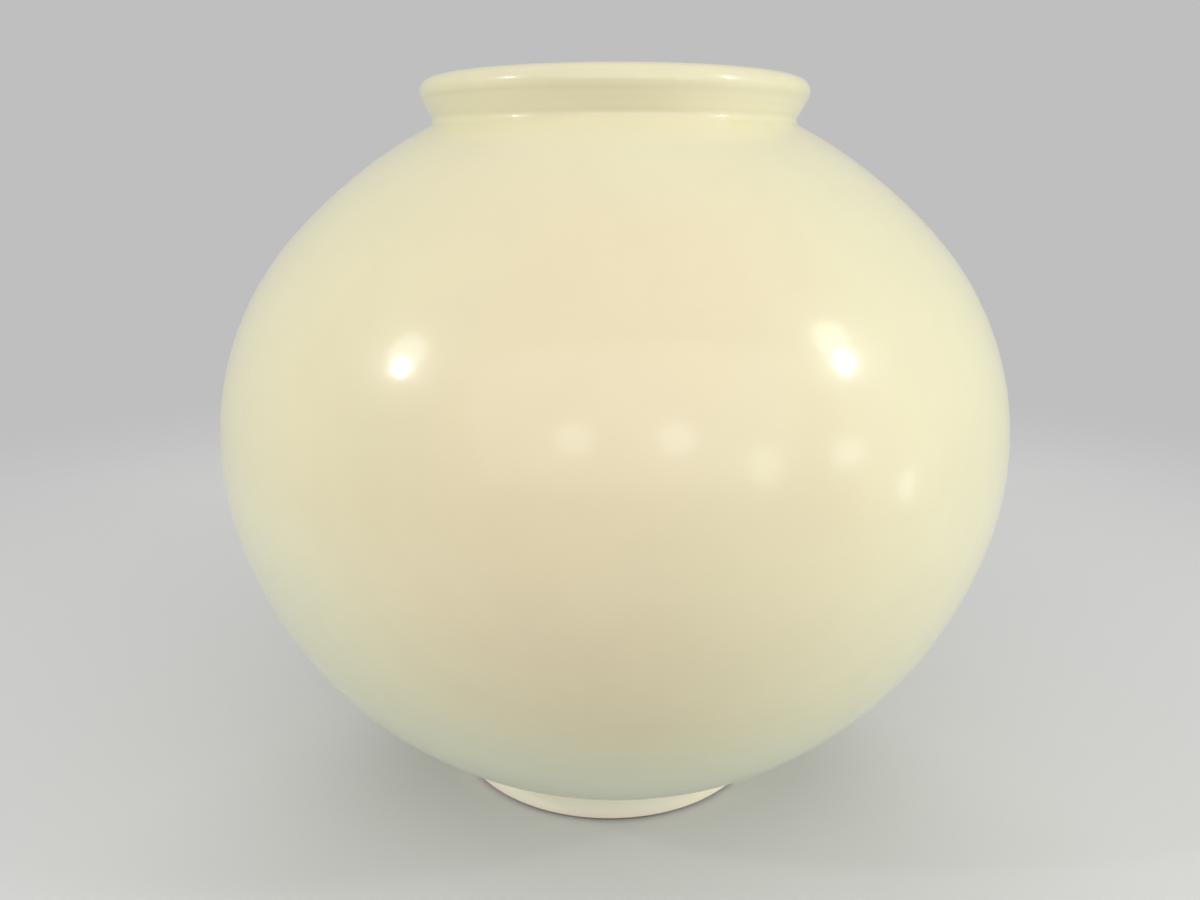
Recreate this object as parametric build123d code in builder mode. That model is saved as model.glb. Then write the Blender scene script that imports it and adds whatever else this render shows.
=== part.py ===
import os
from math import acos, asin, atan2, cos, degrees, radians, sin, sqrt

from build123d import *

# A large round jar, thrown as two bowls that are joined at the waist, on a low foot ring,
# with a rolled mouth rim and a glaze coat outside, inside and under the foot.
# Profiles are drawn as (radius, height) and turned about the jar's upright axis.
# Millimetres and degrees. Heights count from the ground, outside sizes are over the glaze.

# Belly: radius of the widest ring, and the profile's arcs above and below the waist
belly_radius = 225.0
upper_waist_arc = 169.0
upper_waist_turn = 43.0
shoulder_arc = 286.0
lower_waist_arc = 172.0
lower_waist_turn = 14.0
base_arc = 226.0

# Mouth rim: the corner where its leaning underside meets the shoulder, then lip and crest
neck_radius = 100.0
neck_wall = 9.5
underside_lean = 28.5
underside_length = 14.4
lip_arc = 7.0
lip_turn = 68.0
crest_arc = 24.0
groove_pool = 3.4
mouth_edge_round = 4.0

# Foot ring: trimmed by hand, so a little off the belly's axis
foot_radius = 94.5
foot_height = 21.2
foot_shift = -2.6
foot_wall = 13.0
foot_edge_round = 2.0
bare_edge = 2.0
base_ledge = 2.0
well_pool = 4.0

# Clay, slip and glaze
wall = 9.0
floor_thickness = 12.0
floor_round = 40.0
slip = 0.8
glaze = 0.7

# Waist seam: tongue and groove in the middle of the wall, and a coil pressed over it inside
tongue_width = 6.0
tongue_depth = 2.5
tongue_taper = 2.0
coil_half_height = 16.0
coil_depth = 3.0
coil_glaze_toe = 1.5


def polar(centre, radius, angle):
    return centre + Vector(cos(radians(angle)), sin(radians(angle))) * radius


def bearing(centre, point):
    return degrees(atan2(point.Y - centre.Y, point.X - centre.X))


def angle_at_radius(centre, radius, distance):
    return degrees(acos((distance - centre.X) / radius))


def angle_at_height(centre, radius, height):
    return degrees(asin((height - centre.Y) / radius))


def meet(start, direction, centre, radius):
    # First point along a straight run that lies on a circle
    offset = start - centre
    along = offset.dot(direction)
    return start - direction * (along + sqrt(along**2 - offset.dot(offset) + radius**2))


def arc(centre, radius, start, end):
    return CenterArc(centre, radius, start, end - start)


# Depth of the clay's inner face under the outside
inside_depth = glaze + wall

# Arc centres below the waist, set so that the flat base rests on the foot
base_radius = foot_radius + abs(foot_shift) + base_ledge
base_x = belly_radius - lower_waist_arc - (base_arc - lower_waist_arc) * cos(radians(lower_waist_turn))
base_y = foot_height + sqrt((base_arc - glaze) ** 2 - (base_radius - base_x) ** 2)
base_centre = Vector(base_x, base_y)
lower_waist_centre = polar(base_centre, base_arc - lower_waist_arc, -lower_waist_turn)
seam_bottom = lower_waist_centre.Y

# Arc centres above the waist
seam_top = seam_bottom + slip
upper_waist_centre = Vector(belly_radius - upper_waist_arc, seam_top)
shoulder_centre = polar(upper_waist_centre, upper_waist_arc - shoulder_arc, upper_waist_turn)

# Mouth rim, built up from its corner on the shoulder
neck_angle = angle_at_radius(shoulder_centre, shoulder_arc, neck_radius)
neck_corner = polar(shoulder_centre, shoulder_arc, neck_angle)
underside_top = polar(neck_corner, underside_length, 90 - underside_lean)
lip_centre = polar(underside_top, -lip_arc, -underside_lean)
crest_centre = polar(lip_centre, lip_arc - crest_arc, lip_turn)
crest = polar(crest_centre, crest_arc, 90)
down_underside = polar(Vector(0, 0), 1, -90 - underside_lean)

# Mouth opening, from the crest down its inner wall to the rounded edge inside
mouth_radius = neck_radius - neck_wall
mouth_clay_radius = mouth_radius + glaze
inner_lip_arc = crest.X - mouth_radius
inner_lip_centre = Vector(crest.X, crest.Y - inner_lip_arc)
mouth_edge_reach = shoulder_arc - inside_depth + mouth_edge_round
mouth_edge_angle = angle_at_radius(shoulder_centre, mouth_edge_reach, mouth_clay_radius + mouth_edge_round)
mouth_edge_centre = polar(shoulder_centre, mouth_edge_reach, mouth_edge_angle)

# Floor inside, with a round where it meets the wall
floor_height = foot_height + floor_thickness
floor_round_reach = base_arc - inside_depth - floor_round
floor_round_angle = angle_at_height(base_centre, floor_round_reach, floor_height + floor_round)
floor_round_centre = polar(base_centre, floor_round_reach, floor_round_angle)

# Foot ring in its own clay sizes, about its own axis
foot_clay_radius = foot_radius - glaze
foot_inner_radius = foot_clay_radius - foot_wall
foot_top = foot_height - slip
foot_plane = Plane(origin=(foot_shift, 0, 0), x_dir=(1, 0, 0), z_dir=(0, -1, 0))
foot_axis = Axis((foot_shift, 0, 0), (0, 0, 1))


def draw_lip(depth):
    # From the crest over the lip to the top of the leaning underside
    arc(crest_centre, crest_arc - depth, 90, lip_turn)
    arc(lip_centre, lip_arc - depth, lip_turn, -underside_lean)
    return polar(lip_centre, lip_arc - depth, -underside_lean)


def draw_outside(depth, pool):
    # From the crest to the edge of the base, at some depth under the outside
    underside_start = draw_lip(depth)
    pool_start = polar(underside_start, pool, -underside_lean)
    groove = meet(pool_start, down_underside, shoulder_centre, shoulder_arc - depth + pool)
    groove_angle = bearing(shoulder_centre, groove)
    Line(underside_start, polar(groove, -pool, -underside_lean))
    if pool:
        arc(groove, pool, 180 - underside_lean, 180 + groove_angle)
    arc(shoulder_centre, shoulder_arc - depth, groove_angle, upper_waist_turn)
    arc(upper_waist_centre, upper_waist_arc - depth, upper_waist_turn, 0)
    Line((belly_radius - depth, seam_top), (belly_radius - depth, seam_bottom))
    arc(lower_waist_centre, lower_waist_arc - depth, 0, -lower_waist_turn)
    base_angle = angle_at_height(base_centre, base_arc - depth, foot_height - glaze + depth)
    arc(base_centre, base_arc - depth, -lower_waist_turn, base_angle)
    return polar(base_centre, base_arc - depth, base_angle)


def draw_upper_inside(coat, waist_angle):
    # From the mouth's rounded inner edge down the upper bowl, with some coat on the clay
    arc(mouth_edge_centre, mouth_edge_round + coat, 180, 180 + mouth_edge_angle)
    arc(shoulder_centre, shoulder_arc - inside_depth - coat, mouth_edge_angle, upper_waist_turn)
    arc(upper_waist_centre, upper_waist_arc - inside_depth - coat, upper_waist_turn, waist_angle)


def draw_lower_inside(coat, waist_angle):
    # From the waist down the lower bowl to the middle of the floor
    arc(lower_waist_centre, lower_waist_arc - inside_depth - coat, waist_angle, -lower_waist_turn)
    arc(base_centre, base_arc - inside_depth - coat, -lower_waist_turn, floor_round_angle)
    arc(floor_round_centre, floor_round - coat, floor_round_angle, -90)
    Line((floor_round_centre.X, floor_height + coat), (0, floor_height + coat))


def coil_angles(coat, half_height):
    # Where the coil's edges lie on the waist arcs, above and below the seam
    upper_arc = upper_waist_arc - inside_depth - coat
    lower_arc = lower_waist_arc - inside_depth - coat
    above = angle_at_height(upper_waist_centre, upper_arc, seam_top + half_height)
    below = angle_at_height(lower_waist_centre, lower_arc, seam_bottom - half_height)
    return above, below


def draw_coil(coat, half_height):
    # The coil's rounded face, from its upper edge to its lower edge
    above, below = coil_angles(coat, half_height)
    upper_edge = polar(upper_waist_centre, upper_waist_arc - inside_depth - coat, above)
    lower_edge = polar(lower_waist_centre, lower_waist_arc - inside_depth - coat, below)
    swell = Vector(belly_radius - inside_depth - coil_depth - coat, (seam_top + seam_bottom) / 2)
    ThreePointArc(upper_edge, swell, lower_edge)


def draw_inside(coat, half_height):
    # From the crest of the lip down the mouth, over the coil and along the floor to the axis
    mouth_wall = mouth_clay_radius - coat
    arc(inner_lip_centre, inner_lip_arc - glaze + coat, 90, 180)
    Line((mouth_wall, inner_lip_centre.Y), (mouth_wall, mouth_edge_centre.Y))
    above, below = coil_angles(coat, half_height)
    draw_upper_inside(coat, above)
    draw_coil(coat, half_height)
    draw_lower_inside(coat, below)


def seam_line(height):
    # Section of the seam from the outside to the inside of the wall
    middle = belly_radius - glaze - wall / 2
    return [
        (belly_radius - glaze, height),
        (middle + tongue_width / 2, height),
        (middle + tongue_width / 2 - tongue_taper, height - tongue_depth),
        (middle - tongue_width / 2 + tongue_taper, height - tongue_depth),
        (middle - tongue_width / 2, height),
        (belly_radius - inside_depth, height),
    ]


# Lower bowl, with the groove of the seam in its top edge
with BuildPart() as lower_bowl:
    with BuildSketch(Plane.XZ):
        with BuildLine():
            base_angle = angle_at_height(base_centre, base_arc - glaze, foot_height)
            arc(lower_waist_centre, lower_waist_arc - glaze, 0, -lower_waist_turn)
            arc(base_centre, base_arc - glaze, -lower_waist_turn, base_angle)
            Polyline((base_radius, foot_height), (0, foot_height), (0, floor_height))
            draw_lower_inside(0, 0)
            Polyline(*seam_line(seam_bottom))
        make_face()
    revolve(axis=Axis.Z)

# Upper bowl, with the tongue of the seam on its lower edge and the mouth cut out of its top
with BuildPart() as upper_bowl:
    with BuildSketch(Plane.XZ):
        with BuildLine():
            mouth_angle = angle_at_radius(shoulder_centre, shoulder_arc - glaze, mouth_clay_radius)
            mouth_top = polar(shoulder_centre, shoulder_arc - glaze, mouth_angle)
            arc(shoulder_centre, shoulder_arc - glaze, mouth_angle, upper_waist_turn)
            arc(upper_waist_centre, upper_waist_arc - glaze, upper_waist_turn, 0)
            Polyline(*seam_line(seam_top))
            draw_upper_inside(0, 0)
            Line((mouth_clay_radius, mouth_edge_centre.Y), mouth_top)
        make_face()
    revolve(axis=Axis.Z)

# Slip in the seam
with BuildPart() as waist_slip:
    with BuildSketch(Plane.XZ):
        with BuildLine():
            Polyline(*seam_line(seam_top), *reversed(seam_line(seam_bottom)), close=True)
        make_face()
    revolve(axis=Axis.Z)

# Coil over the seam inside
with BuildPart() as waist_coil:
    with BuildSketch(Plane.XZ):
        with BuildLine():
            above, below = coil_angles(0, coil_half_height)
            inner_wall = belly_radius - inside_depth
            arc(upper_waist_centre, upper_waist_arc - inside_depth, above, 0)
            Line((inner_wall, seam_top), (inner_wall, seam_bottom))
            arc(lower_waist_centre, lower_waist_arc - inside_depth, 0, below)
            draw_coil(0, coil_half_height)
        make_face()
    revolve(axis=Axis.Z)

# Mouth rim, seated on the shoulder through its slip
with BuildPart() as mouth_rim:
    with BuildSketch(Plane.XZ):
        with BuildLine():
            seat_arc = shoulder_arc - glaze + slip
            underside_start = draw_lip(glaze)
            seat_outer = meet(underside_start, down_underside, shoulder_centre, seat_arc)
            seat_angle = angle_at_radius(shoulder_centre, seat_arc, mouth_clay_radius)
            Line(underside_start, seat_outer)
            arc(shoulder_centre, seat_arc, bearing(shoulder_centre, seat_outer), seat_angle)
            seat_inner = polar(shoulder_centre, seat_arc, seat_angle)
            Line(seat_inner, (mouth_clay_radius, inner_lip_centre.Y))
            arc(inner_lip_centre, inner_lip_arc - glaze, 180, 90)
        make_face()
    revolve(axis=Axis.Z)

# Slip under the mouth rim
with BuildPart() as mouth_slip:
    with BuildSketch(Plane.XZ):
        with BuildLine():
            slip_outer = meet(underside_start, down_underside, shoulder_centre, shoulder_arc - glaze)
            arc(shoulder_centre, seat_arc, seat_angle, bearing(shoulder_centre, seat_outer))
            Line(seat_outer, slip_outer)
            arc(shoulder_centre, shoulder_arc - glaze, bearing(shoulder_centre, slip_outer), mouth_angle)
            Line(mouth_top, seat_inner)
        make_face()
    revolve(axis=Axis.Z)

# Foot ring, with rounded edges beside the face that it stands on
with BuildPart() as foot_ring:
    with BuildSketch(foot_plane) as foot_section:
        with Locations((foot_inner_radius, 0)):
            Rectangle(foot_wall, foot_top, align=Align.MIN)
        fillet(foot_section.vertices().group_by(Axis.Y)[0], foot_edge_round)
    revolve(axis=foot_axis)

# Slip between the foot ring and the base
with BuildPart() as foot_slip:
    with BuildSketch(foot_plane):
        with Locations((foot_inner_radius, foot_top)):
            Rectangle(foot_wall, slip, align=Align.MIN)
    revolve(axis=foot_axis)

# Outer glaze: lip, shoulder, belly and ledge, then the wall of the foot down to its bare edge
with BuildPart() as outer_glaze:
    with BuildSketch(Plane.XZ):
        with BuildLine():
            glaze_edge = draw_outside(0, groove_pool)
            clay_edge = draw_outside(glaze, 0)
            under_foot = foot_clay_radius - foot_wall / 2
            Polyline(glaze_edge, (under_foot, glaze_edge.Y), (under_foot, clay_edge.Y), clay_edge)
            Line(crest, crest - Vector(0, glaze))
        make_face()
    revolve(axis=Axis.Z)
    with BuildSketch():
        with Locations((foot_shift, 0)):
            Circle(foot_clay_radius)
    extrude(amount=foot_height, mode=Mode.SUBTRACT)
    with BuildSketch(foot_plane):
        with Locations((foot_clay_radius, bare_edge)):
            Rectangle(glaze, foot_height - bare_edge, align=Align.MIN)
    revolve(axis=foot_axis)

# Liner glaze, from the crest of the lip to the floor
with BuildPart() as liner_glaze:
    with BuildSketch(Plane.XZ):
        with BuildLine():
            draw_inside(0, coil_half_height)
            draw_inside(glaze, coil_half_height + coil_glaze_toe)
            Line((0, floor_height), (0, floor_height + glaze))
            Line(crest, crest - Vector(0, glaze))
        make_face()
    revolve(axis=Axis.Z)

# Glaze in the hollow under the foot, pooled in its corner
with BuildPart() as foot_well_glaze:
    with BuildSketch(foot_plane) as well_section:
        with BuildLine():
            well_radius = foot_inner_radius - glaze
            well_height = foot_height - glaze
            Polyline(
                (0, foot_height),
                (foot_inner_radius, foot_height),
                (foot_inner_radius, bare_edge),
                (well_radius, bare_edge),
                (well_radius, well_height),
                (0, well_height),
                close=True,
            )
        make_face()
        fillet(well_section.vertices().sort_by_distance((well_radius, well_height))[0], well_pool)
    revolve(axis=foot_axis)

pieces = {
    "lower_bowl": lower_bowl,
    "upper_bowl": upper_bowl,
    "waist_slip": waist_slip,
    "waist_coil": waist_coil,
    "mouth_rim": mouth_rim,
    "mouth_slip": mouth_slip,
    "foot_ring": foot_ring,
    "foot_slip": foot_slip,
    "outer_glaze": outer_glaze,
    "liner_glaze": liner_glaze,
    "foot_well_glaze": foot_well_glaze,
}
os.makedirs("parts", exist_ok=True)
for name, piece in pieces.items():
    piece.part.label = name
    export_step(piece.part, f"parts/{name}.step")
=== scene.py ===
import math

import bmesh
import bpy
from mathutils import Euler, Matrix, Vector


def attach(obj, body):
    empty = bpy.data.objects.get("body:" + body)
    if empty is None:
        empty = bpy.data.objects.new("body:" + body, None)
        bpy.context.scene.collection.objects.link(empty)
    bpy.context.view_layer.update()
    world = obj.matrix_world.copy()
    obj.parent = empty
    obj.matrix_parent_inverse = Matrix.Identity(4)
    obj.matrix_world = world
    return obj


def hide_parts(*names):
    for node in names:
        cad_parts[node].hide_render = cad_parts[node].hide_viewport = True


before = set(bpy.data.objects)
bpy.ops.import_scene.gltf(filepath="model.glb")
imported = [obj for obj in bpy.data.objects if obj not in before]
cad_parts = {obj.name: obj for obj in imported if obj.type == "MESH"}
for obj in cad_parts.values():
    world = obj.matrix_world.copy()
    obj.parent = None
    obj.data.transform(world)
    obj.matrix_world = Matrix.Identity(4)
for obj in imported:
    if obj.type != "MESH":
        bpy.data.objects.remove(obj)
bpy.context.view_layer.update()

scene = bpy.context.scene
mm = 0.001


# small helpers for node trees

def plug(tree, source, socket):
    if isinstance(source, bpy.types.NodeSocket):
        tree.links.new(source, socket)
    else:
        socket.default_value = source


def addNode(tree, kind, inputs=None, **settings):
    node = tree.nodes.new(kind)
    for name, value in settings.items():
        setattr(node, name, value)
    for name, source in (inputs or {}).items():
        plug(tree, source, node.inputs[name])
    return node


def calc(tree, operation, *terms):
    node = addNode(tree, "ShaderNodeMath", operation=operation)
    for term, socket in zip(terms, node.inputs):
        plug(tree, term, socket)
    return node.outputs[0]


def countCalc(tree, operation, *terms):
    node = addNode(tree, "FunctionNodeIntegerMath", operation=operation)
    for term, socket in zip(terms, node.inputs):
        plug(tree, term, socket)
    return node.outputs[0]


# the jar's form: arcs of the profile over the glaze, in millimetres and degrees

jarForm = {
    "bellyRadius": 225.0,
    "upperWaistArc": 169.0,
    "upperWaistTurn": 43.0,
    "shoulderArc": 286.0,
    "lowerWaistArc": 172.0,
    "lowerWaistTurn": 14.0,
    "baseArc": 226.0,
    "neckRadius": 100.0,
    "neckWall": 9.5,
    "undersideLean": 28.5,
    "undersideLength": 14.4,
    "lipArc": 7.0,
    "lipTurn": 68.0,
    "crestArc": 24.0,
    "groovePool": 3.4,
    "mouthEdgeRound": 4.0,
    "footRadius": 94.5,
    "footHeight": 21.2,
    "footShift": -2.6,
    "footWall": 13.0,
    "footEdgeRound": 2.0,
    "footPool": 1.5,
    "bareEdge": 2.0,
    "baseLedge": 2.0,
    "wellPool": 4.0,
    "wall": 9.0,
    "floorThickness": 12.0,
    "floorRound": 40.0,
    "slip": 0.8,
    "glaze": 0.7,
    "coilHalfHeight": 16.0,
    "coilDepth": 3.0,
    "coilGlazeToe": 1.5,
}


def polar(centre, radius, angle):
    turn = math.radians(angle)
    return Vector((centre.x + radius * math.cos(turn), centre.y + radius * math.sin(turn)))


def angleAtRadius(centre, radius, distance):
    return math.degrees(math.acos((distance - centre.x) / radius))


def angleAtHeight(centre, radius, height):
    return math.degrees(math.asin((height - centre.y) / radius))


def bearing(centre, point):
    return math.degrees(math.atan2(point.y - centre.y, point.x - centre.x))


def meetCircle(start, direction, centre, radius):
    offset = start - centre
    along = offset.dot(direction)
    return start - direction * (along + math.sqrt(along ** 2 - offset.length_squared + radius ** 2))


def workOutForm(form):
    f = dict(form)
    f["insideDepth"] = f["glaze"] + f["wall"]
    # below the waist: arcs that end on the foot's top
    f["baseRadius"] = f["footRadius"] + abs(f["footShift"]) + f["baseLedge"]
    arcStep = f["baseArc"] - f["lowerWaistArc"]
    turn = math.radians(f["lowerWaistTurn"])
    baseX = f["bellyRadius"] - f["lowerWaistArc"] - arcStep * math.cos(turn)
    rise = math.sqrt((f["baseArc"] - f["glaze"]) ** 2 - (f["baseRadius"] - baseX) ** 2)
    f["baseCentre"] = Vector((baseX, f["footHeight"] + rise))
    f["lowerWaistCentre"] = polar(f["baseCentre"], arcStep, -f["lowerWaistTurn"])
    f["seamBottom"] = f["lowerWaistCentre"].y
    # above the waist
    f["seamTop"] = f["seamBottom"] + f["slip"]
    f["upperWaistCentre"] = Vector((f["bellyRadius"] - f["upperWaistArc"], f["seamTop"]))
    shoulderStep = f["upperWaistArc"] - f["shoulderArc"]
    f["shoulderCentre"] = polar(f["upperWaistCentre"], shoulderStep, f["upperWaistTurn"])
    # mouth rim, from its corner on the shoulder up to the crest
    neckAngle = angleAtRadius(f["shoulderCentre"], f["shoulderArc"], f["neckRadius"])
    neckCorner = polar(f["shoulderCentre"], f["shoulderArc"], neckAngle)
    undersideTop = polar(neckCorner, f["undersideLength"], 90 - f["undersideLean"])
    f["lipCentre"] = polar(undersideTop, -f["lipArc"], -f["undersideLean"])
    f["crestCentre"] = polar(f["lipCentre"], f["lipArc"] - f["crestArc"], f["lipTurn"])
    f["crest"] = polar(f["crestCentre"], f["crestArc"], 90)
    f["downUnderside"] = polar(Vector((0, 0)), 1, -90 - f["undersideLean"])
    # mouth opening
    f["mouthRadius"] = f["neckRadius"] - f["neckWall"]
    f["mouthClayRadius"] = f["mouthRadius"] + f["glaze"]
    f["innerLipArc"] = f["crest"].x - f["mouthRadius"]
    f["innerLipCentre"] = Vector((f["crest"].x, f["crest"].y - f["innerLipArc"]))
    edgeReach = f["shoulderArc"] - f["insideDepth"] + f["mouthEdgeRound"]
    edgeRadius = f["mouthClayRadius"] + f["mouthEdgeRound"]
    f["mouthEdgeAngle"] = angleAtRadius(f["shoulderCentre"], edgeReach, edgeRadius)
    f["mouthEdgeCentre"] = polar(f["shoulderCentre"], edgeReach, f["mouthEdgeAngle"])
    # floor inside
    f["floorHeight"] = f["footHeight"] + f["floorThickness"]
    floorReach = f["baseArc"] - f["insideDepth"] - f["floorRound"]
    floorRise = f["floorHeight"] + f["floorRound"]
    f["floorRoundAngle"] = angleAtHeight(f["baseCentre"], floorReach, floorRise)
    f["floorRoundCentre"] = polar(f["baseCentre"], floorReach, f["floorRoundAngle"])
    # foot ring
    f["footClayRadius"] = f["footRadius"] - f["glaze"]
    f["footInnerRadius"] = f["footClayRadius"] - f["footWall"]
    f["footTop"] = f["footHeight"] - f["slip"]
    return f


jar = workOutForm(jarForm)
print("jar form: %.1f mm across, %.1f mm tall" % (2 * jar["bellyRadius"], jar["crest"].y))


# profiles: points in order along the section, each with what the wheel does there
# the solid lies to the right of the way along

plainTouch = {"pitch": 10.0, "ridge": 0.0, "wobble": 0.0, "offAxis": 0.0, "depth": 0.0}
samePoint = 1e-6
nearPoints = 60


def addPoint(profile, place, outward, touch):
    if profile and (profile[-1]["place"] - place).length < samePoint:
        return
    profile.append({"place": place, "outward": outward, **plainTouch, **touch})


def addArc(profile, centre, radius, start, end, step, **touch):
    facing = 1 if end < start else -1
    count = max(2, math.ceil(math.radians(abs(end - start)) * radius / step))
    for i in range(count + 1):
        angle = start + (end - start) * i / count
        outward = polar(Vector((0, 0)), facing, angle)
        addPoint(profile, polar(centre, radius, angle), outward, touch)


def addLine(profile, start, end, step, **touch):
    start, end = Vector(start), Vector(end)
    along = (end - start).normalized()
    outward = Vector((-along.y, along.x))
    count = max(1, math.ceil((end - start).length / step))
    for i in range(count + 1):
        addPoint(profile, start.lerp(end, i / count), outward, touch)


def softenTouch(profile, names, reach):
    # eases what the hand does from one stretch of the profile to the next
    for name in names:
        eased = []
        for i, here in enumerate(profile):
            total, weight = 0.0, 0.0
            for other in profile[max(0, i - nearPoints):i + nearPoints + 1]:
                share = max(0.0, 1 - (other["place"] - here["place"]).length / reach)
                total += share * other[name]
                weight += share
            eased.append(total / weight)
        for here, value in zip(profile, eased):
            here[name] = value


def calmRidges(profile, point, reach):
    for here in profile:
        here["ridge"] *= min(1.0, (here["place"] - Vector(point)).length / reach)


def closeLoop(profile):
    # the last point is the first one again, so that the skin shuts
    profile[-1] = dict(profile[0])


def makeProfileObject(name, profile):
    mesh = bpy.data.meshes.new(name)
    points = [(p["place"].x * mm, 0, p["place"].y * mm) for p in profile]
    mesh.from_pydata(points, [(i, i + 1) for i in range(len(points) - 1)], [])
    turns = [0.0]
    for before, after in zip(profile, profile[1:]):
        turns.append(turns[-1] + (after["place"] - before["place"]).length / after["pitch"])
    outward = mesh.attributes.new("outward", "FLOAT_VECTOR", "POINT")
    for item, p in zip(outward.data, profile):
        item.vector = (p["outward"].x, 0, p["outward"].y)
    values = {
        "thrownTurns": turns,
        "ridgeHeight": [p["ridge"] * mm for p in profile],
        "wobbleShare": [p["wobble"] for p in profile],
        "offAxis": [p["offAxis"] for p in profile],
        "glazeDepthAndPaintedLight": [p["depth"] for p in profile],
    }
    for key, column in values.items():
        layer = mesh.attributes.new(key, "FLOAT", "POINT")
        layer.data.foreach_set("value", column)
    obj = bpy.data.objects.new(name, mesh)
    scene.collection.objects.link(obj)
    return obj


# the wheel: turns a profile about the upright axis, with throwing ridges and a hand's wobble

potterHand = {
    "wobbleDepth": 0.25,
    "wobbleSize": 110.0,
    "wobbleDetail": 1.0,
    "unevenness": 0.5,
    "seed": 4.0,
    "sharpAngle": 40.0,
    "weldReach": 0.001,
}


def buildWheelTree():
    tree = bpy.data.node_groups.new("potterWheel", "GeometryNodeTree")
    sockets = (
        ("Profile", "NodeSocketGeometry"),
        ("Sectors", "NodeSocketInt"),
        ("Foot Shift", "NodeSocketFloat"),
        ("Wobble Depth", "NodeSocketFloat"),
        ("Wobble Size", "NodeSocketFloat"),
        ("Seed", "NodeSocketFloat"),
        ("Finish", "NodeSocketMaterial"),
    )
    for name, kind in sockets:
        tree.interface.new_socket(name, in_out="INPUT", socket_type=kind)
    tree.interface.new_socket("Turned", in_out="OUTPUT", socket_type="NodeSocketGeometry")
    given = addNode(tree, "NodeGroupInput").outputs

    # one grid column for each sector, one row for each profile point
    size = addNode(tree, "GeometryNodeAttributeDomainSize", {"Geometry": given["Profile"]})
    rows = size.outputs["Point Count"]
    columns = countCalc(tree, "ADD", given["Sectors"], 1)
    grid = addNode(tree, "GeometryNodeMeshGrid", {"Vertices X": columns, "Vertices Y": rows})
    index = addNode(tree, "GeometryNodeInputIndex").outputs[0]
    row = countCalc(tree, "MODULO", index, rows)
    column = countCalc(tree, "DIVIDE_FLOOR", index, rows)
    angle = calc(tree, "DIVIDE", calc(tree, "MULTIPLY", column, math.tau), given["Sectors"])
    cosine, sine = calc(tree, "COSINE", angle), calc(tree, "SINE", angle)

    def onProfile(value, kind):
        node = addNode(tree, "GeometryNodeSampleIndex", data_type=kind, domain="POINT")
        plug(tree, given["Profile"], node.inputs["Geometry"])
        plug(tree, value, node.inputs["Value"])
        plug(tree, row, node.inputs["Index"])
        return node.outputs["Value"]

    def named(name, kind="FLOAT"):
        node = addNode(tree, "GeometryNodeInputNamedAttribute", {"Name": name}, data_type=kind)
        return onProfile(node.outputs["Attribute"], kind)

    def split(vector):
        return addNode(tree, "ShaderNodeSeparateXYZ", {"Vector": vector}).outputs

    def join(x, y, z):
        node = addNode(tree, "ShaderNodeCombineXYZ", {"X": x, "Y": y, "Z": z})
        return node.outputs[0]

    place = split(onProfile(addNode(tree, "GeometryNodeInputPosition").outputs[0], "FLOAT_VECTOR"))
    outward = split(named("outward", "FLOAT_VECTOR"))
    radius, height = place["X"], place["Z"]

    # a smooth wander of the wall, then the spiral that the fingers leave
    spun = join(calc(tree, "MULTIPLY", radius, cosine), calc(tree, "MULTIPLY", radius, sine), height)
    noise = addNode(tree, "ShaderNodeTexNoise", noise_dimensions="4D")
    plug(tree, spun, noise.inputs["Vector"])
    plug(tree, given["Seed"], noise.inputs["W"])
    plug(tree, calc(tree, "DIVIDE", 1.0, given["Wobble Size"]), noise.inputs["Scale"])
    noise.inputs["Detail"].default_value = potterHand["wobbleDetail"]
    swing = calc(tree, "MULTIPLY", calc(tree, "SUBTRACT", noise.outputs[0], 0.5), 2.0)
    wander = calc(tree, "MULTIPLY", swing, given["Wobble Depth"])
    wander = calc(tree, "MULTIPLY", wander, named("wobbleShare"))
    spiral = calc(tree, "SUBTRACT", calc(tree, "MULTIPLY", named("thrownTurns"), math.tau), angle)
    uneven = calc(tree, "MULTIPLY_ADD", swing, potterHand["unevenness"], 1.0)
    ridge = calc(tree, "MULTIPLY", calc(tree, "SINE", spiral), named("ridgeHeight"))
    lift = calc(tree, "MULTIPLY_ADD", ridge, uneven, wander)

    reach = calc(tree, "MULTIPLY_ADD", outward["X"], lift, radius)
    shift = calc(tree, "MULTIPLY", named("offAxis"), given["Foot Shift"])
    x = calc(tree, "MULTIPLY_ADD", reach, cosine, shift)
    y = calc(tree, "MULTIPLY", reach, sine)
    z = calc(tree, "MULTIPLY_ADD", outward["Z"], lift, height)

    depth = addNode(tree, "GeometryNodeStoreNamedAttribute", data_type="FLOAT", domain="POINT")
    plug(tree, grid.outputs["Mesh"], depth.inputs["Geometry"])
    depth.inputs["Name"].default_value = "glazeDepthAndPaintedLight"
    plug(tree, named("glazeDepthAndPaintedLight"), depth.inputs["Value"])
    moved = {"Geometry": depth.outputs[0], "Position": join(x, y, z)}
    turned = addNode(tree, "GeometryNodeSetPosition", moved)
    closed = addNode(tree, "GeometryNodeMergeByDistance", {"Geometry": turned.outputs[0]})
    closed.inputs["Distance"].default_value = potterHand["weldReach"] * mm
    smooth = addNode(tree, "GeometryNodeSetShadeSmooth", {"Geometry": closed.outputs[0]})
    whole = addNode(tree, "GeometryNodeRealizeInstances", {"Geometry": smooth.outputs[0]})
    finished = addNode(tree, "GeometryNodeSetMaterial", {"Geometry": whole.outputs[0]})
    plug(tree, given["Finish"], finished.inputs["Material"])
    result = addNode(tree, "NodeGroupOutput")
    plug(tree, finished.outputs[0], result.inputs["Turned"])
    return tree


wheelTree = buildWheelTree()
print("wheel tree: %d nodes" % len(wheelTree.nodes))


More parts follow.
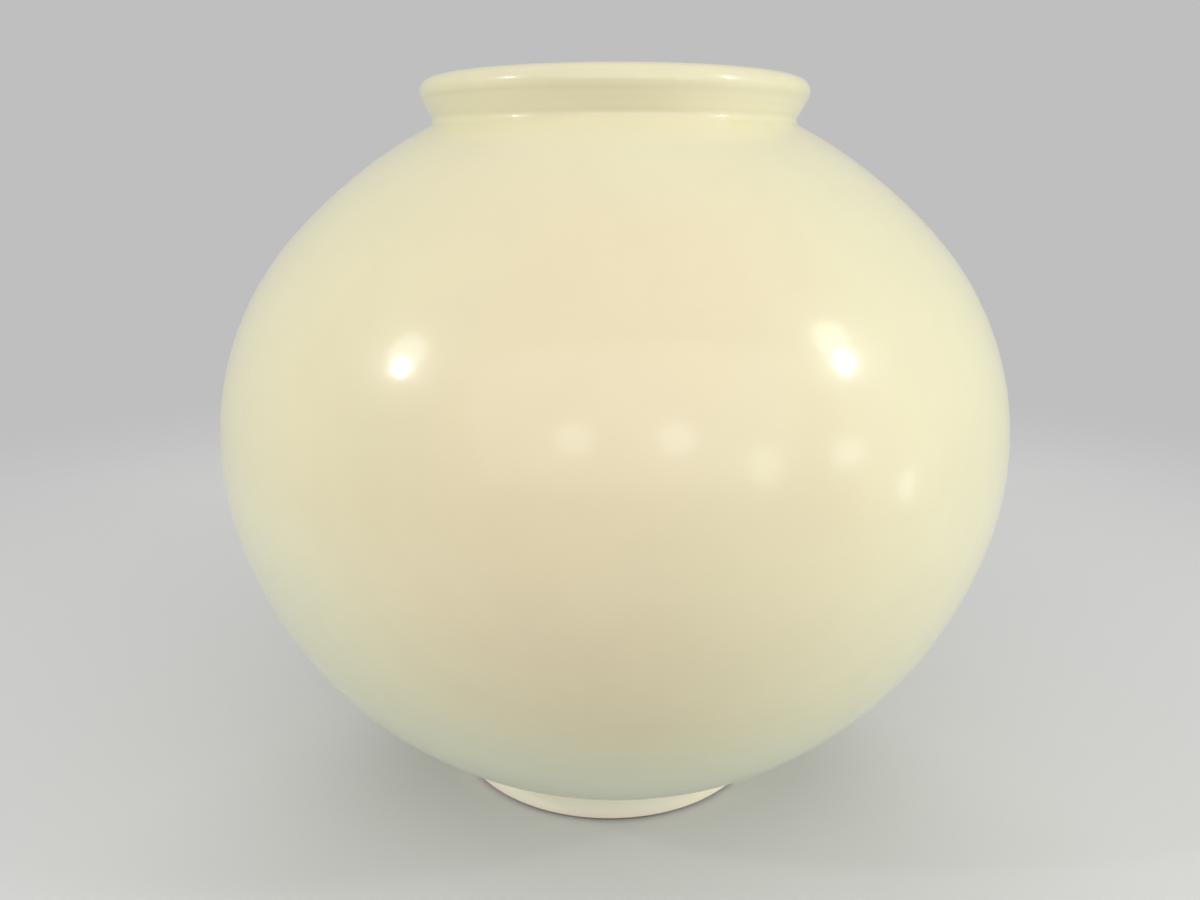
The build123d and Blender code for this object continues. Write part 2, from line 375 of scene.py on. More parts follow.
def turnPiece(name, profile, sectors, finish):
    blank = makeProfileObject(name + "Profile", profile)
    modifier = blank.modifiers.new("wheel", "NODES")
    modifier.node_group = wheelTree
    settings = {
        "Sectors": sectors,
        "Foot Shift": jar["footShift"] * mm,
        "Wobble Depth": potterHand["wobbleDepth"] * mm,
        "Wobble Size": potterHand["wobbleSize"] * mm,
        "Seed": potterHand["seed"],
        "Finish": finish,
    }
    for item in wheelTree.interface.items_tree:
        if item.in_out == "INPUT" and item.name in settings:
            modifier[item.identifier] = settings[item.name]
    depsgraph = bpy.context.evaluated_depsgraph_get()
    mesh = bpy.data.meshes.new_from_object(blank.evaluated_get(depsgraph), depsgraph=depsgraph)
    blank.modifiers.remove(modifier)
    bpy.data.objects.remove(blank)
    mesh.name = name
    shape = bmesh.new()
    shape.from_mesh(mesh)
    bmesh.ops.recalc_face_normals(shape, faces=shape.faces)
    openEdges = sum(1 for edge in shape.edges if not edge.is_manifold)
    shape.to_mesh(mesh)
    shape.free()
    mesh.set_sharp_from_angle(angle=math.radians(potterHand["sharpAngle"]))
    piece = bpy.data.objects.new(name, mesh)
    scene.collection.objects.link(piece)
    triangles = sum(len(face.vertices) - 2 for face in mesh.polygons)
    print("%s: %d triangles, %d open edges" % (name, triangles, openEdges))
    return piece


# finishes

noiseBand = (0.3, 0.7)


def startMaterial(name):
    material = bpy.data.materials.new(name)
    material.use_nodes = True
    tree = material.node_tree
    shader = tree.nodes["Principled BSDF"]
    where = addNode(tree, "ShaderNodeTexCoord").outputs["Object"]
    return material, tree, shader, where


def addNoise(tree, where, scale, detail=2.0, roughness=0.5):
    node = addNode(tree, "ShaderNodeTexNoise", {"Vector": where, "Scale": scale})
    node.inputs["Detail"].default_value = detail
    node.inputs["Roughness"].default_value = roughness
    return node.outputs[0]


def mixColors(tree, share, first, second, blend="MIX"):
    node = addNode(tree, "ShaderNodeMix", data_type="RGBA", blend_type=blend)
    plug(tree, share, node.inputs[0])
    plug(tree, first, node.inputs[6])
    plug(tree, second, node.inputs[7])
    return node.outputs[2]


def spread(tree, value, low, high, newLow, newHigh):
    node = addNode(tree, "ShaderNodeMapRange", interpolation_type="SMOOTHSTEP")
    for source, socket in zip((value, low, high, newLow, newHigh), node.inputs):
        plug(tree, source, socket)
    return node.outputs[0]


def addBump(tree, height, distance, strength=1.0):
    node = addNode(tree, "ShaderNodeBump", {"Height": height})
    node.inputs["Distance"].default_value = distance
    node.inputs["Strength"].default_value = strength
    return node.outputs[0]


glazeLook = {
    "ivory": (0.83, 0.79, 0.52, 1),
    "tints": (
        # colour, middle of the patch, full within, gone beyond
        # warm patch on the front of the belly: painted warm light
        ((0.885, 0.76, 0.505, 1), (-0.015, -0.21, 0.26), 0.03, 0.205),
        ((0.885, 0.76, 0.505, 1), (-0.09, 0.19, 0.2), 0.02, 0.2),
        # lighter patch on the front of the lip: painted light
        ((0.87, 0.80, 0.54, 1), (0.01, -0.09, 0.4), 0.02, 0.09),
        # darker patch left of the middle of the front: painted shade
        ((0.80, 0.713, 0.462, 1), (-0.105, -0.187, 0.262), 0.0, 0.06),
        # greener patch low on the front left: painted grey reflection from below
        ((0.80, 0.795, 0.56, 1), (-0.14, -0.12, 0.05), 0.04, 0.17),
    ),
    "tintTall": 1.3,
    "cloudScale": 7.0,
    "cloudDetail": 1.0,
    "cloudReach": 0.12,
    "low": (0.86, 0.885, 0.645, 1),
    "lowFade": (0.14, 0.06),
    "lowDrift": 0.04,
    "thin": (0.96, 0.86, 0.68, 1),
    "thickCoatAndPaintedLight": (0.97, 0.93, 0.735, 1),
    "toe": (7.0 * mm, 3.0 * mm),
    "mottleScale": 42.0,
    "mottleDetail": 3.0,
    "mottle": (0.985, 1.0),
    "glossScale": 16.0,
    "roughness": (0.29, 0.34),
    "specular": 0.36,
    "coat": 0.62,
    "coatRoughness": 0.11,
    "peelScale": 520.0,
    "peelDepth": 0.012 * mm,
}


def makeIvoryGlaze(look):
    material, tree, shader, where = startMaterial("ivoryGlaze")
    # warm and cool patches, taller than wide, with cloudy edges: a kiln patch at the back, and on the
    # front painted light, shade and reflection
    squat = (1, 1, 1 / look["tintTall"])
    flat = addNode(tree, "ShaderNodeVectorMath", {0: where, 1: squat}, operation="MULTIPLY").outputs[0]
    clouds = addNoise(tree, where, look["cloudScale"], look["cloudDetail"])
    drift = calc(tree, "SUBTRACT", clouds, 0.5)
    color = look["ivory"]
    for tint, centre, core, edge in look["tints"]:
        middle = tuple(a * b for a, b in zip(centre, squat))
        apart = addNode(tree, "ShaderNodeVectorMath", {0: flat, 1: middle}, operation="DISTANCE")
        away = calc(tree, "MULTIPLY_ADD", drift, look["cloudReach"], apart.outputs["Value"])
        color = mixColors(tree, spread(tree, away, core, edge, 1.0, 0.0), color, tint)
    height = addNode(tree, "ShaderNodeSeparateXYZ", {"Vector": where}).outputs["Z"]
    # greener and less yellow towards the bottom: painted grey reflection from below
    drifting = calc(tree, "MULTIPLY_ADD", drift, look["lowDrift"], height)
    color = mixColors(tree, spread(tree, drifting, *look["lowFade"], 0.0, 1.0), color, look["low"])
    mottle = addNoise(tree, where, look["mottleScale"], look["mottleDetail"])
    mottle = spread(tree, mottle, *noiseBand, *look["mottle"])
    tone = addNode(tree, "ShaderNodeCombineColor")
    for socket in tone.inputs:
        plug(tree, mottle, socket)
    color = mixColors(tree, 1.0, color, tone.outputs[0], "MULTIPLY")
    # whiter where the coat lies thick and where light is painted in (foot wall, rim underside, inside),
    # pinker where it is thin and along the foot's toe
    depth = addNode(tree, "ShaderNodeAttribute", attribute_name="glazeDepthAndPaintedLight").outputs["Fac"]
    color = mixColors(tree, spread(tree, depth, 0.0, -1.0, 0.0, 1.0), color, look["thin"])
    color = mixColors(tree, spread(tree, depth, 0.0, 1.0, 0.0, 1.0), color, look["thickCoatAndPaintedLight"])
    color = mixColors(tree, spread(tree, height, *look["toe"], 0.0, 1.0), color, look["thin"])
    plug(tree, color, shader.inputs["Base Color"])
    gloss = spread(tree, addNoise(tree, where, look["glossScale"]), *noiseBand, *look["roughness"])
    plug(tree, gloss, shader.inputs["Roughness"])
    shader.inputs["Specular IOR Level"].default_value = look["specular"]
    shader.inputs["Coat Weight"].default_value = look["coat"]
    shader.inputs["Coat Roughness"].default_value = look["coatRoughness"]
    peel = addNoise(tree, where, look["peelScale"])
    skin = addBump(tree, peel, look["peelDepth"])
    plug(tree, skin, shader.inputs["Normal"])
    plug(tree, skin, shader.inputs["Coat Normal"])
    return material


clayLook = {
    "body": (0.76, 0.665, 0.545, 1),
    "flush": (0.58, 0.43, 0.31, 1),
    "flushScale": 22.0,
    "flushBand": (0.42, 0.68),
    "flushShare": 0.7,
    "speck": (0.50, 0.38, 0.27, 1),
    "speckScale": 320.0,
    "speckBand": (0.16, 0.06),
    "speckShare": 0.5,
    # painted contact shadow along the standing edge
    "paintedContactShadow": (0.15, 0.11, 0.08, 1),
    "paintedShadowHeight": 3.2 * mm,
    "paintedShadowShare": 0.95,
    "detail": 3.0,
    "roughness": (0.72, 0.86),
    "grainScale": 900.0,
    "grainRoughness": 0.6,
    "grainDepth": 0.05 * mm,
    "grainStrength": 0.8,
}


def makeBareClay(look):
    material, tree, shader, where = startMaterial("bareClay")
    flush = addNoise(tree, where, look["flushScale"], look["detail"])
    flush = spread(tree, flush, *look["flushBand"], 0.0, look["flushShare"])
    color = mixColors(tree, flush, look["body"], look["flush"])
    specks = addNode(tree, "ShaderNodeTexVoronoi", {"Vector": where, "Scale": look["speckScale"]})
    share = spread(tree, specks.outputs["Distance"], *look["speckBand"], 0.0, look["speckShare"])
    color = mixColors(tree, share, color, look["speck"])
    # painted contact shadow, darkest where the foot stands
    height = addNode(tree, "ShaderNodeSeparateXYZ", {"Vector": where}).outputs["Z"]
    paintedContactShadow = spread(tree, height, look["paintedShadowHeight"], 0.0, 0.0, look["paintedShadowShare"])
    color = mixColors(tree, paintedContactShadow, color, look["paintedContactShadow"])
    plug(tree, color, shader.inputs["Base Color"])
    grain = addNoise(tree, where, look["grainScale"], look["detail"], look["grainRoughness"])
    plug(tree, spread(tree, grain, *noiseBand, *look["roughness"]), shader.inputs["Roughness"])
    plug(tree, addBump(tree, grain, look["grainDepth"], look["grainStrength"]), shader.inputs["Normal"])
    return material


slipLook = {
    "body": (0.79, 0.72, 0.62, 1),
    "streak": (0.74, 0.66, 0.56, 1),
    "streakScale": 60.0,
    "streakDetail": 4.0,
    "streakBand": (0.35, 0.65),
    "roughness": (0.78, 0.9),
    "grainScale": 1600.0,
    "grainDepth": 0.02 * mm,
    "grainStrength": 0.6,
}


def makeJointSlip(look):
    material, tree, shader, where = startMaterial("jointSlip")
    streak = addNoise(tree, where, look["streakScale"], look["streakDetail"])
    streak = spread(tree, streak, *look["streakBand"], 0.0, 1.0)
    plug(tree, mixColors(tree, streak, look["body"], look["streak"]), shader.inputs["Base Color"])
    grain = addNoise(tree, where, look["grainScale"])
    plug(tree, spread(tree, grain, *noiseBand, *look["roughness"]), shader.inputs["Roughness"])
    plug(tree, addBump(tree, grain, look["grainDepth"], look["grainStrength"]), shader.inputs["Normal"])
    return material


ivoryGlaze = makeIvoryGlaze(glazeLook)
bareClay = makeBareClay(clayLook)
jointSlip = makeJointSlip(slipLook)
print("finishes: ivory glaze, bare clay, joint slip")


# outer glaze: lip, shoulder, belly, ledge and foot wall, then back along the clay

outerCoat = {
    "sectors": 240,
    "lipStep": 0.5,
    "bellyStep": 2.8,
    "ledgeStep": 0.8,
    "cornerStep": 0.4,
    "footStep": 0.9,
    "beadStep": 0.2,
    "clayStep": 9.0,
    "clayLipStep": 2.0,
    "touchReach": 10.0,
    "depthReach": 2.5,
    "calmCrest": 4.0,
    "rimTouch": {"pitch": 4.2, "ridge": 0.02, "wobble": 0.5},
    # depth on the rim's underside whitens it: painted light
    "undersideTouch": {"pitch": 4.2, "ridge": 0.025, "wobble": 0.6, "depth": 0.35},
    "grooveTouch": {"pitch": 4.2, "wobble": 0.6},
    "bellyTouch": {"pitch": 14.0, "ridge": 0.012, "wobble": 1.0},
    "ledgeTouch": {"wobble": 0.3},
    # depth on the foot wall whitens it: a thick coat and painted light
    "footTouch": {"pitch": 5.0, "ridge": 0.03, "wobble": 0.3, "offAxis": 1.0, "depth": 1.0},
}


def drawOuterCoat(coat):
    f, glaze = jar, jar["glaze"]
    lean, lip, fine, wide = f["undersideLean"], f["lipTurn"], coat["lipStep"], coat["bellyStep"]
    centres = ("shoulderCentre", "upperWaistCentre", "lowerWaistCentre", "baseCentre")
    shoulder, upper, lower, base = (f[name] for name in centres)
    path = []
    addArc(path, f["crestCentre"], f["crestArc"], 90, lip, fine, **coat["rimTouch"])
    addArc(path, f["lipCentre"], f["lipArc"], lip, -lean, fine, **coat["rimTouch"])
    # leaning underside, into the pool of glaze in the groove
    pool = f["groovePool"]
    undersideStart = polar(f["lipCentre"], f["lipArc"], -lean)
    poolStart = polar(undersideStart, pool, -lean)
    groove = meetCircle(poolStart, f["downUnderside"], shoulder, f["shoulderArc"] + pool)
    grooveAngle = bearing(shoulder, groove)
    addLine(path, undersideStart, polar(groove, -pool, -lean), fine, **coat["undersideTouch"])
    addArc(path, groove, pool, 180 - lean, 180 + grooveAngle, fine, **coat["grooveTouch"])
    # belly
    addArc(path, shoulder, f["shoulderArc"], grooveAngle, f["upperWaistTurn"], wide, **coat["bellyTouch"])
    addArc(path, upper, f["upperWaistArc"], f["upperWaistTurn"], 0, wide, **coat["bellyTouch"])
    addArc(path, lower, f["lowerWaistArc"], 0, -f["lowerWaistTurn"], wide, **coat["bellyTouch"])
    ledgeHeight = f["footHeight"] - glaze
    edgeAngle = angleAtHeight(base, f["baseArc"], ledgeHeight)
    addArc(path, base, f["baseArc"], -f["lowerWaistTurn"], edgeAngle, wide, **coat["bellyTouch"])
    # ledge and foot wall, which has its own axis
    corner, foot, ledge = f["footPool"], f["footRadius"], coat["ledgeTouch"]
    ledgeStart, ledgeEnd = polar(base, f["baseArc"], edgeAngle), foot + corner
    addLine(path, ledgeStart, (ledgeEnd, ledgeHeight), coat["ledgeStep"], **ledge)
    path[-1]["offAxis"] = 1.0
    cornerCentre = Vector((ledgeEnd, ledgeHeight - corner))
    addArc(path, cornerCentre, corner, 90, 180, coat["cornerStep"], **ledge, offAxis=1.0)
    bead = glaze / 2
    beadHeight = f["bareEdge"] + bead
    footTop = (foot, ledgeHeight - corner)
    addLine(path, footTop, (foot, beadHeight), coat["footStep"], **coat["footTouch"])
    beadCentre = Vector((foot - bead, beadHeight))
    addArc(path, beadCentre, bead, 0, -180, coat["beadStep"], offAxis=1.0, depth=1.0)
    softenTouch(path, ("ridge", "wobble", "pitch"), coat["touchReach"])
    softenTouch(path, ("depth",), coat["depthReach"])
    calmRidges(path, f["crest"], coat["calmCrest"])
    # back up along the clay
    rough, lipRough = coat["clayStep"], coat["clayLipStep"]
    clayCorner = (f["footClayRadius"], f["footHeight"])
    addLine(path, (f["footClayRadius"], beadHeight), clayCorner, rough, offAxis=1.0)
    addLine(path, clayCorner, (f["baseRadius"], f["footHeight"]), rough)
    path[-1]["offAxis"] = 0.0
    clayAngle = angleAtHeight(base, f["baseArc"] - glaze, f["footHeight"])
    addArc(path, base, f["baseArc"] - glaze, clayAngle, -f["lowerWaistTurn"], rough)
    addArc(path, lower, f["lowerWaistArc"] - glaze, -f["lowerWaistTurn"], 0, rough)
    addArc(path, upper, f["upperWaistArc"] - glaze, 0, f["upperWaistTurn"], rough)
    clayLip = polar(f["lipCentre"], f["lipArc"] - glaze, -lean)
    clayGroove = meetCircle(clayLip, f["downUnderside"], shoulder, f["shoulderArc"] - glaze)
    neckTurn = bearing(shoulder, clayGroove)
    addArc(path, shoulder, f["shoulderArc"] - glaze, f["upperWaistTurn"], neckTurn, rough)
    addLine(path, clayGroove, clayLip, rough)
    addArc(path, f["lipCentre"], f["lipArc"] - glaze, -lean, lip, lipRough)
    addArc(path, f["crestCentre"], f["crestArc"] - glaze, lip, 90, lipRough)
    addLine(path, f["crest"] - Vector((0, glaze)), f["crest"], lipRough)
    closeLoop(path)
    return path


def placePiece(piece, node):
    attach(piece, "root")
    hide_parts(node)


outerGlaze = turnPiece("outerGlaze", drawOuterCoat(outerCoat), outerCoat["sectors"], ivoryGlaze)
placePiece(outerGlaze, "outer_glaze")


# liner glaze: floor, wall, the swell over the waist coil, mouth wall and lip, then back along the clay

linerCoat = {
    "sectors": 180,
    "lipStep": 0.5,
    "wallStep": 1.8,
    "clayStep": 9.0,
    "clayLipStep": 2.0,
    "clayEdgeStep": 1.0,
    "touchReach": 14.0,
    "depthReach": 4.0,
    "calmCrest": 4.0,
    "calmAxis": 18.0,
    # depth inside whitens the liner: pooled coat and painted light where little light gets in
    "floorTouch": {"pitch": 9.0, "ridge": 0.3, "wobble": 0.6, "depth": 1.0},
    "wallTouch": {"pitch": 11.0, "ridge": 0.26, "wobble": 1.0, "depth": 0.9},
    "coilTouch": {"pitch": 6.0, "ridge": 0.15, "wobble": 1.0, "depth": 0.6},
    "mouthTouch": {"pitch": 5.0, "ridge": 0.08, "wobble": 0.5, "depth": 0.3},
    "lipTouch": {"pitch": 4.2, "ridge": 0.02, "wobble": 0.5},
}


def circleThrough(first, second, third):
    a, b = second - first, third - first
    scale = 2 * (a.x * b.y - a.y * b.x)
    x = (b.y * a.length_squared - a.y * b.length_squared) / scale
    y = (a.x * b.length_squared - b.x * a.length_squared) / scale
    return first + Vector((x, y)), Vector((x, y)).length


def coilSwell(coat, halfHeight):
    # the arc over the coil, and where it starts on the wall below and above the seam
    f = jar
    depth = f["insideDepth"] + coat
    below = angleAtHeight(f["lowerWaistCentre"], f["lowerWaistArc"] - depth, f["seamBottom"] - halfHeight)
    above = angleAtHeight(f["upperWaistCentre"], f["upperWaistArc"] - depth, f["seamTop"] + halfHeight)
    lowerEdge = polar(f["lowerWaistCentre"], f["lowerWaistArc"] - depth, below)
    upperEdge = polar(f["upperWaistCentre"], f["upperWaistArc"] - depth, above)
    middle = Vector((f["bellyRadius"] - depth - f["coilDepth"], (f["seamTop"] + f["seamBottom"]) / 2))
    centre, radius = circleThrough(lowerEdge, middle, upperEdge)
    start, end = (bearing(centre, edge) % 360 for edge in (lowerEdge, upperEdge))
    return below, above, (centre, radius, start, end)


def drawLiner(coat):
    f, glaze = jar, jar["glaze"]
    fine, wide, rough = coat["lipStep"], coat["wallStep"], coat["clayStep"]
    lower, upper, turn = -f["lowerWaistTurn"], f["upperWaistTurn"], f["mouthEdgeAngle"]
    wall, mouth, lip = coat["wallTouch"], coat["mouthTouch"], coat["lipTouch"]
    floor, floorTurn = coat["floorTouch"], f["floorRoundAngle"]
    floorTop = f["floorHeight"] + glaze
    floorEdge = f["floorRoundCentre"].x
    below, above, swell = coilSwell(glaze, f["coilHalfHeight"] + f["coilGlazeToe"])
    depth = f["insideDepth"] + glaze
    path = []
    addLine(path, (0, floorTop), (floorEdge, floorTop), wide, **floor)
    addArc(path, f["floorRoundCentre"], f["floorRound"] - glaze, -90, floorTurn, wide, **floor)
    addArc(path, f["baseCentre"], f["baseArc"] - depth, floorTurn, lower, wide, **wall)
    addArc(path, f["lowerWaistCentre"], f["lowerWaistArc"] - depth, lower, below, wide, **wall)
    addArc(path, *swell, wide, **coat["coilTouch"])
    addArc(path, f["upperWaistCentre"], f["upperWaistArc"] - depth, above, upper, wide, **wall)
    addArc(path, f["shoulderCentre"], f["shoulderArc"] - depth, upper, turn, wide, **wall)
    addArc(path, f["mouthEdgeCentre"], f["mouthEdgeRound"] + glaze, 180 + turn, 180, fine, **mouth)
    mouthTop = f["innerLipCentre"].y
    addLine(path, (f["mouthRadius"], f["mouthEdgeCentre"].y), (f["mouthRadius"], mouthTop), fine, **mouth)
    addArc(path, f["innerLipCentre"], f["innerLipArc"], 180, 90, fine, **lip)
    softenTouch(path, ("ridge", "wobble", "pitch"), coat["touchReach"])
    softenTouch(path, ("depth",), coat["depthReach"])
    calmRidges(path, f["crest"], coat["calmCrest"])
    calmRidges(path, (0, floorTop), coat["calmAxis"])
    # back down along the clay
    below, above, swell = coilSwell(0, f["coilHalfHeight"])
    depth = f["insideDepth"]
    addLine(path, f["crest"], f["crest"] - Vector((0, glaze)), coat["clayLipStep"])
    addArc(path, f["innerLipCentre"], f["innerLipArc"] - glaze, 90, 180, coat["clayLipStep"])
    addLine(path, (f["mouthClayRadius"], mouthTop), (f["mouthClayRadius"], f["mouthEdgeCentre"].y), rough)
    addArc(path, f["mouthEdgeCentre"], f["mouthEdgeRound"], 180, 180 + turn, coat["clayEdgeStep"])
    addArc(path, f["shoulderCentre"], f["shoulderArc"] - depth, turn, upper, rough)
    addArc(path, f["upperWaistCentre"], f["upperWaistArc"] - depth, upper, above, rough)
    centre, radius, start, end = swell
    addArc(path, centre, radius, end, start, rough)
    addArc(path, f["lowerWaistCentre"], f["lowerWaistArc"] - depth, below, lower, rough)
    addArc(path, f["baseCentre"], f["baseArc"] - depth, lower, floorTurn, rough)
    addArc(path, f["floorRoundCentre"], f["floorRound"], floorTurn, -90, rough)
    addLine(path, (floorEdge, f["floorHeight"]), (0, f["floorHeight"]), rough)
    return path


linerGlaze = turnPiece("linerGlaze", drawLiner(linerCoat), linerCoat["sectors"], ivoryGlaze)
placePiece(linerGlaze, "liner_glaze")


# foot ring: bare clay where it stands, trimmed about its own axis

footCut = {
    "sectors": 180,
    "edgeStep": 0.25,
    "wallStep": 1.5,
    "calmTop": 3.0,
    "trimTouch": {"pitch": 3.0, "ridge": 0.04, "offAxis": 1.0},
}


def drawFootRing(cut):
    outer, inner, top = jar["footClayRadius"], jar["footInnerRadius"], jar["footTop"]
    edge, fine, wide = jar["footEdgeRound"], cut["edgeStep"], cut["wallStep"]
    path = []
    addLine(path, (outer, top), (outer, edge), wide, **cut["trimTouch"])
    addArc(path, Vector((outer - edge, edge)), edge, 0, -90, fine, offAxis=1.0)
    addLine(path, (outer - edge, 0), (inner + edge, 0), wide, offAxis=1.0)
    addArc(path, Vector((inner + edge, edge)), edge, -90, -180, fine, offAxis=1.0)
    addLine(path, (inner, edge), (inner, top), wide, **cut["trimTouch"])
    addLine(path, (inner, top), (outer, top), wide, offAxis=1.0)
    calmRidges(path, (outer, top), cut["calmTop"])
    closeLoop(path)
    return path


footRing = turnPiece("footRing", drawFootRing(footCut), footCut["sectors"], bareClay)
placePiece(footRing, "foot_ring")


# foot well glaze: the coat in the hollow under the foot, pooled in its corner

wellCoat = {
    "sectors": 160,
    "clayStep": 8.0,
    "beadStep": 0.2,
    "wallStep": 1.0,
    "poolStep": 0.5,
    "wellStep": 1.6,
    "calmAxis": 15.0,
    "floorTouch": {"pitch": 8.0, "ridge": 0.12, "offAxis": 1.0},
    "poolTouch": {"offAxis": 1.0, "depth": 0.8},
    "beadTouch": {"offAxis": 1.0, "depth": -0.6},
    "wallTouch": {"pitch": 4.0, "ridge": 0.03, "offAxis": 1.0, "depth": -0.3},
}


def drawFootWell(coat):
    inner, top, glaze, pool = jar["footInnerRadius"], jar["footHeight"], jar["glaze"], jar["wellPool"]
    wellRadius, wellTop, bead = inner - glaze, top - glaze, glaze / 2
    beadHeight = jar["bareEdge"] + bead
    path = []
    addLine(path, (0, top), (inner, top), coat["clayStep"], offAxis=1.0)
    addLine(path, (inner, top), (inner, beadHeight), coat["clayStep"], offAxis=1.0)
    beadCentre = Vector((inner - bead, beadHeight))
    addArc(path, beadCentre, bead, 0, -180, coat["beadStep"], **coat["beadTouch"])
    wallTop = (wellRadius, wellTop - pool)
    addLine(path, (wellRadius, beadHeight), wallTop, coat["wallStep"], **coat["wallTouch"])
    poolCentre = Vector((wellRadius - pool, wellTop - pool))
    addArc(path, poolCentre, pool, 0, 90, coat["poolStep"], **coat["poolTouch"])
    addLine(path, (wellRadius - pool, wellTop), (0, wellTop), coat["wellStep"], **coat["floorTouch"])
    calmRidges(path, (0, wellTop), coat["calmAxis"])
    return path


footWellGlaze = turnPiece("footWellGlaze", drawFootWell(wellCoat), wellCoat["sectors"], ivoryGlaze)
placePiece(footWellGlaze, "foot_well_glaze")


# CAD pieces under the glaze keep their shape and get their clay and slip
for nodeName, finish in (
    ("lower_bowl", bareClay), ("upper_bowl", bareClay), ("waist_coil", bareClay), ("mouth_rim", bareClay),
    ("waist_slip", jointSlip), ("mouth_slip", jointSlip), ("foot_slip", jointSlip),
):
    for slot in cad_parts[nodeName].material_slots:
        slot.material = finish


# stage: a pale floor that fades into the backdrop, soft light all round, panels and lamps about the jar,
# and a narrow lamp over the mouth

stageLook = {
    "floorRadius": 3.0,
    "floorSides": 96,
    "floorRoughness": 0.9,
    "floorSpecular": 0.1,
    "floorColor": (0.46, 0.465, 0.47, 1),
    "floorSeen": (0.62, 0.62, 0.615, 1),
    "fade": (0.5, 1.25),
    "horizon": 0.10,
    "zenith": 0.73,
    "backdrop": 0.52,
    "lampAim": (0, 0, 0.25),
}


def raySeen(tree):
    # 1 for what the eye sees, straight or in a reflection
    ray = addNode(tree, "ShaderNodeLightPath").outputs
    seen = calc(tree, "MAXIMUM", ray["Is Camera Ray"], ray["Is Glossy Ray"])
    return calc(tree, "MAXIMUM", seen, ray["Is Transmission Ray"])


def makeFloor(look):
    mesh = bpy.data.meshes.new("floor")
    shape = bmesh.new()
    bmesh.ops.create_circle(shape, cap_ends=True, segments=look["floorSides"], radius=look["floorRadius"])
    shape.to_mesh(mesh)
    shape.free()
    floor = bpy.data.objects.new("floor", mesh)
    scene.collection.objects.link(floor)
    material, tree, shader, where = startMaterial("paleFloor")
    color = mixColors(tree, raySeen(tree), look["floorColor"], look["floorSeen"])
    plug(tree, color, shader.inputs["Base Color"])
    shader.inputs["Roughness"].default_value = look["floorRoughness"]
    shader.inputs["Specular IOR Level"].default_value = look["floorSpecular"]
    distance = addNode(tree, "ShaderNodeVectorMath", {0: where}, operation="LENGTH").outputs["Value"]
    clear = addNode(tree, "ShaderNodeBsdfTransparent").outputs[0]
    fade = addNode(tree, "ShaderNodeMixShader", {0: spread(tree, distance, *look["fade"], 0.0, 1.0)})
    plug(tree, shader.outputs[0], fade.inputs[1])
    plug(tree, clear, fade.inputs[2])
    plug(tree, fade.outputs[0], tree.nodes["Material Output"].inputs["Surface"])
    mesh.materials.append(material)


def makeWorld(look):
    world = bpy.data.worlds.new("softDome")
    scene.world = world
    world.use_nodes = True
    tree = world.node_tree
    direction = addNode(tree, "ShaderNodeTexCoord").outputs["Generated"]
    height = addNode(tree, "ShaderNodeSeparateXYZ", {"Vector": direction}).outputs["Z"]
    dome = spread(tree, height, 0.0, 1.0, look["horizon"], look["zenith"])
    strength = spread(tree, raySeen(tree), 0.0, 1.0, dome, look["backdrop"])
    background = tree.nodes["Background"]
    background.inputs["Color"].default_value = (1, 1, 1, 1)
    plug(tree, strength, background.inputs["Strength"])


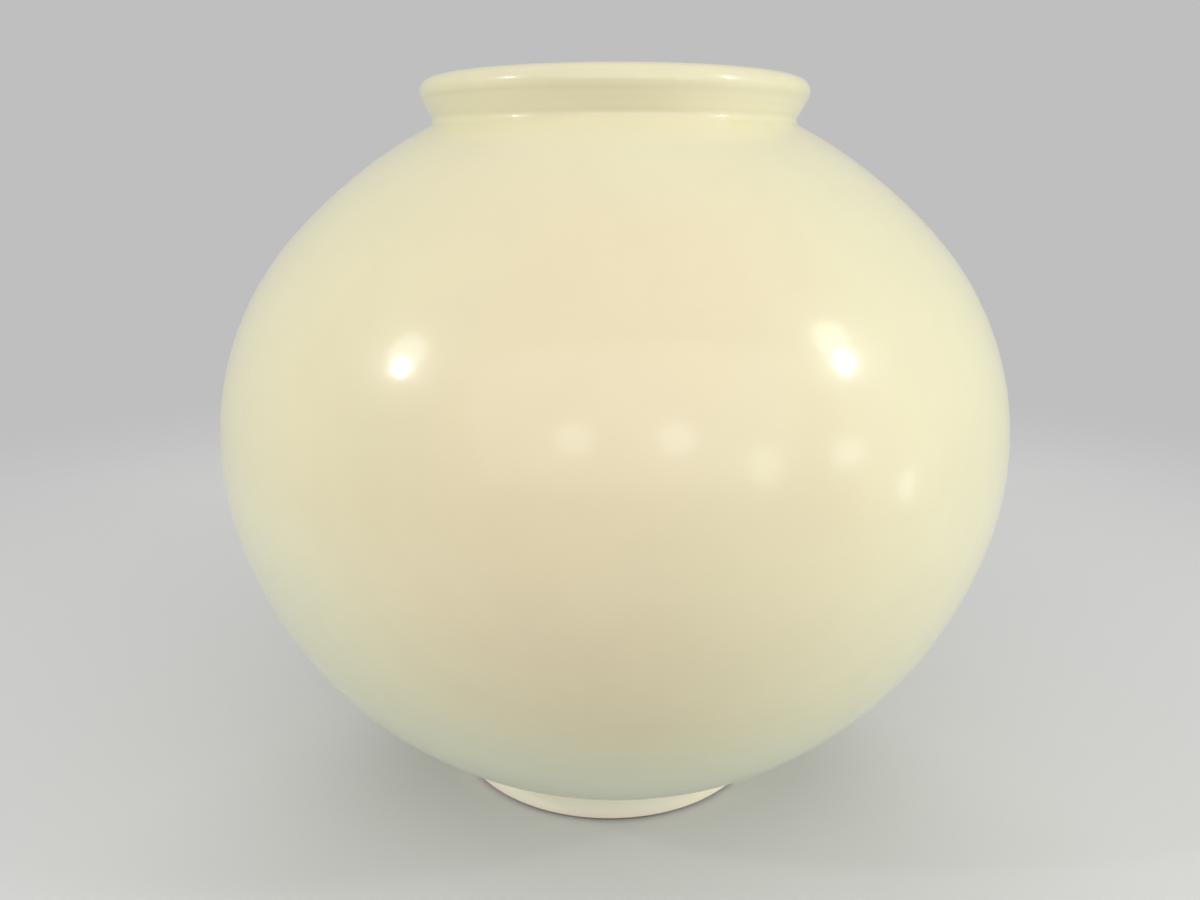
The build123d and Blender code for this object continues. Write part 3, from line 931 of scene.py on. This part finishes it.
# bearing, rise and spread in degrees, away and width in metres, power in watts
lamps = [
    {"name": "leftLamp", "bearing": -62.2, "rise": 27.7, "away": 1.75, "width": 0.078, "power": 2.8},
    {"name": "leftGlow", "bearing": -63.0, "rise": 32.4, "away": 1.75, "width": 0.32, "power": 1.1},
    {"name": "rightLamp", "bearing": 68.6, "rise": 27.4, "away": 1.75, "width": 0.15, "power": 3.2},
    {"name": "rightGlow", "bearing": 69.4, "rise": 34.5, "away": 1.75, "width": 0.3, "power": 1.0},
    {"name": "frontGlowLeft", "bearing": -9.6, "rise": 17.4, "away": 1.8, "width": 0.3, "power": 0.55},
    {"name": "frontGlowRight", "bearing": 16.2, "rise": 17.1, "away": 1.8, "width": 0.3, "power": 0.6},
    {"name": "windowGlowNear", "bearing": 37.0, "rise": 6.6, "away": 1.8,
     "width": 0.26, "height": 0.4, "power": 0.5},
    {"name": "windowGlowMiddle", "bearing": 59.6, "rise": 5.1, "away": 1.78,
     "width": 0.32, "height": 0.26, "power": 0.52},
    {"name": "windowGlowFar", "bearing": 73.7, "rise": -7.1, "away": 1.06,
     "width": 0.1, "height": 0.14, "power": 0.085},
    {"name": "frontPanel", "bearing": 6.0, "rise": 26.0, "away": 2.3,
     "width": 4.0, "height": 1.9, "power": 16.75, "square": True},
    {"name": "leftPanel", "bearing": -70.0, "rise": 9.0, "away": 2.26,
     "width": 1.4, "power": 15.7, "soft": True},
    {"name": "rightPanel", "bearing": 75.0, "rise": 7.0, "away": 2.26,
     "width": 1.4, "power": 20.8, "soft": True},
    {"name": "backPanel", "bearing": 180.0, "rise": 30.0, "away": 2.26,
     "width": 1.4, "power": 13.0, "soft": True},
    {"name": "mouthLamp", "bearing": 0.0, "rise": 90.0, "away": 1.75,
     "width": 0.04, "power": 0.05, "soft": True, "spread": 5.0},
]

glowTint = (0.88, 1.0, 0.98)


def makeLamps(middle):
    for lamp in lamps:
        data = bpy.data.lights.new(lamp["name"], "AREA")
        data.shape = "RECTANGLE" if lamp.get("square") else "ELLIPSE"
        data.size = lamp["width"]
        data.size_y = lamp.get("height", lamp["width"])
        data.energy = lamp["power"]
        data.spread = math.radians(lamp.get("spread", 180.0))
        data.color = glowTint if "Glow" in lamp["name"] else (1, 1, 1)
        obj = bpy.data.objects.new(lamp["name"], data)
        scene.collection.objects.link(obj)
        turn, rise = math.radians(lamp["bearing"]), math.radians(lamp["rise"])
        flat = math.cos(rise)
        way = Vector((flat * math.sin(turn), -flat * math.cos(turn), math.sin(rise)))
        obj.location = middle + way * lamp["away"]
        obj.rotation_euler = way.to_track_quat("Z", "Y").to_euler()
        obj.visible_camera = False
        # soft lamps light the jar without showing in its glaze
        obj.visible_glossy = not lamp.get("soft", False)


photoView = {
    "at": (0.0005, -0.5952, 0.36235),
    "tiltDown": 0.2721,
    "turn": 0.0143,
    "lens": 30.12,
    "sensor": 36.0,
}


def makeCamera(look):
    data = bpy.data.cameras.new("photoCamera")
    data.lens = look["lens"]
    data.sensor_width = look["sensor"]
    camera = bpy.data.objects.new("photoCamera", data)
    scene.collection.objects.link(camera)
    camera.location = look["at"]
    camera.rotation_euler = Euler((math.pi / 2 - look["tiltDown"], 0, look["turn"]))
    scene.camera = camera


makeFloor(stageLook)
makeWorld(stageLook)
makeLamps(Vector(stageLook["lampAim"]))
makeCamera(photoView)
scene.view_settings.view_transform = "Standard"
print("stage: floor, dome, %d lamps, camera" % len(lamps))
